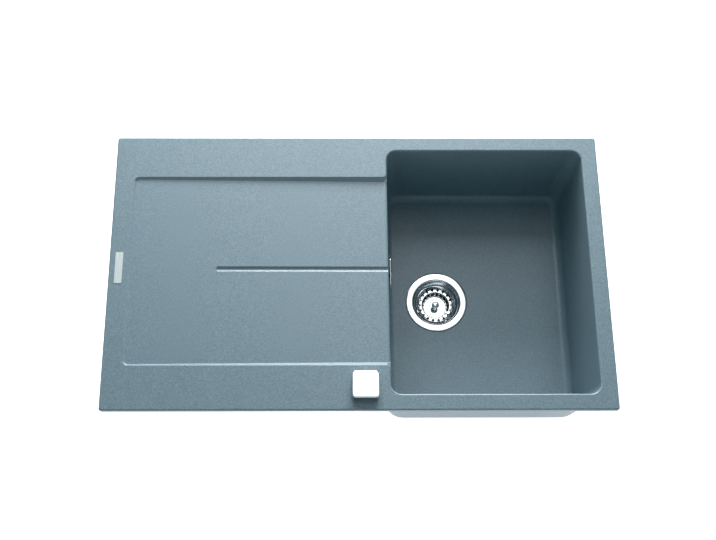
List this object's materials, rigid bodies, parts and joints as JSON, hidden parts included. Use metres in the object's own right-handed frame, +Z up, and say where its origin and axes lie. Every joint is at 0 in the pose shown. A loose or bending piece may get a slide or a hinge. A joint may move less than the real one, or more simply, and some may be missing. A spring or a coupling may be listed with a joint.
{
  "type": "kitchen sink",
  "caption": "Inset granite kitchen sink with a grooved drainer on the left, a deep rounded bowl on the right, a basket strainer waste, an overflow and a square pop-up control knob.",
  "frame": {"origin": "middle of the 860 by 500 mm rim, in the plane of the worktop that the rim rests on", "axes": "+X to the right, from the drainer to the bowl; +Y to the back, away from the user; +Z up"},
  "size_m": [0.86, 0.5, 0.309],
  "materials": {
    "granite": "matte",
    "chrome": "polished",
    "steel": "satin",
    "brass": "satin",
    "rubber": "matte",
    "black_plastic": "matte",
    "grey_plastic": "satin"
  },
  "bodies": {
    "sink": {"sink_body": "granite", "name_plate": "steel", "overflow_cover": "chrome", "overflow_screw": "steel", "overflow_gasket": "rubber", "overflow_elbow": "black_plastic", "upper_pipe_seal": "rubber", "upper_pipe_nut": "grey_plastic", "overflow_pipe": "grey_plastic", "lower_pipe_seal": "rubber", "lower_pipe_nut": "grey_plastic", "waste_flange": "chrome", "flange_gasket": "rubber", "body_gasket": "rubber", "waste_body": "black_plastic", "waste_outlet": "black_plastic", "clamp_bolt": "steel", "axle_seals": "rubber", "waste_cable_gland": "brass", "control_gasket": "rubber", "control_housing": "black_plastic", "control_ring_nut": "chrome", "housing_lid": "black_plastic", "lid_screws": "steel", "control_cable_gland": "brass", "clip_inserts": "brass", "clip_screws": "steel"},
    "control": {"knob_cap": "chrome", "control_spindle": "brass", "cable_drum": "grey_plastic", "drum_screw": "steel"},
    "pin": {"lift_pin": "steel"},
    "lever": {"lift_finger": "grey_plastic", "lever_axle": "steel", "lever_crank": "steel"},
    "strainer": {"basket": "chrome", "basket_knob": "chrome", "basket_stem": "brass", "basket_seal": "rubber"},
    "clip_front_left": {"clip_claw_front_left": "steel"},
    "clip_front_right": {"clip_claw_front_right": "steel"},
    "clip_back_left": {"clip_claw_back_left": "steel"},
    "clip_back_right": {"clip_claw_back_right": "steel"},
    "clip_left": {"clip_claw_left": "steel"},
    "clip_right": {"clip_claw_right": "steel"}
  },
  "joints": [
    {"name": "knob_turn", "type": "hinge", "parent": "sink", "child": "control", "pos_m": [0.01, -0.21, 0], "axis": [0, 0, 1], "range_deg": [0, 90]},
    {"name": "pin_lift", "type": "slide", "parent": "sink", "child": "pin", "axis": [0, 0, 1], "range_m": [0, 0.008]},
    {"name": "lever_swing", "type": "hinge", "parent": "sink", "child": "lever", "pos_m": [0.1525, 0.0175, -0.2478], "axis": [-1, 0, 0], "range_deg": [0, 25.7]},
    {"name": "lift_out", "type": "slide", "parent": "pin", "child": "strainer", "axis": [0, 0, 1], "range_m": [0, 0.26]},
    {"name": "clip_front_left_turn", "type": "hinge", "parent": "sink", "child": "clip_front_left", "pos_m": [-0.221, -0.2338, -0.052], "axis": [0, 0, 1], "range_deg": [0, 90]},
    {"name": "clip_front_right_turn", "type": "hinge", "parent": "sink", "child": "clip_front_right", "pos_m": [0.227, -0.2338, -0.052], "axis": [0, 0, 1], "range_deg": [0, 90]},
    {"name": "clip_back_left_turn", "type": "hinge", "parent": "sink", "child": "clip_back_left", "pos_m": [-0.221, 0.2338, -0.052], "axis": [0, 0, 1], "range_deg": [0, 90]},
    {"name": "clip_back_right_turn", "type": "hinge", "parent": "sink", "child": "clip_back_right", "pos_m": [0.227, 0.2338, -0.052], "axis": [0, 0, 1], "range_deg": [0, 90]},
    {"name": "clip_left_turn", "type": "hinge", "parent": "sink", "child": "clip_left", "pos_m": [-0.4138, 0, -0.052], "axis": [0, 0, 1], "range_deg": [0, 90]},
    {"name": "clip_right_turn", "type": "hinge", "parent": "sink", "child": "clip_right", "pos_m": [0.4138, 0, -0.052], "axis": [0, 0, 1], "range_deg": [0, 90]}
  ],
  "couplings": [
    {"joint": "pin_lift", "follows": "knob_turn", "m_per_rad": 0.0050929},
    {"joint": "lever_swing", "follows": "knob_turn", "ratio": 0.2853}
  ]
}
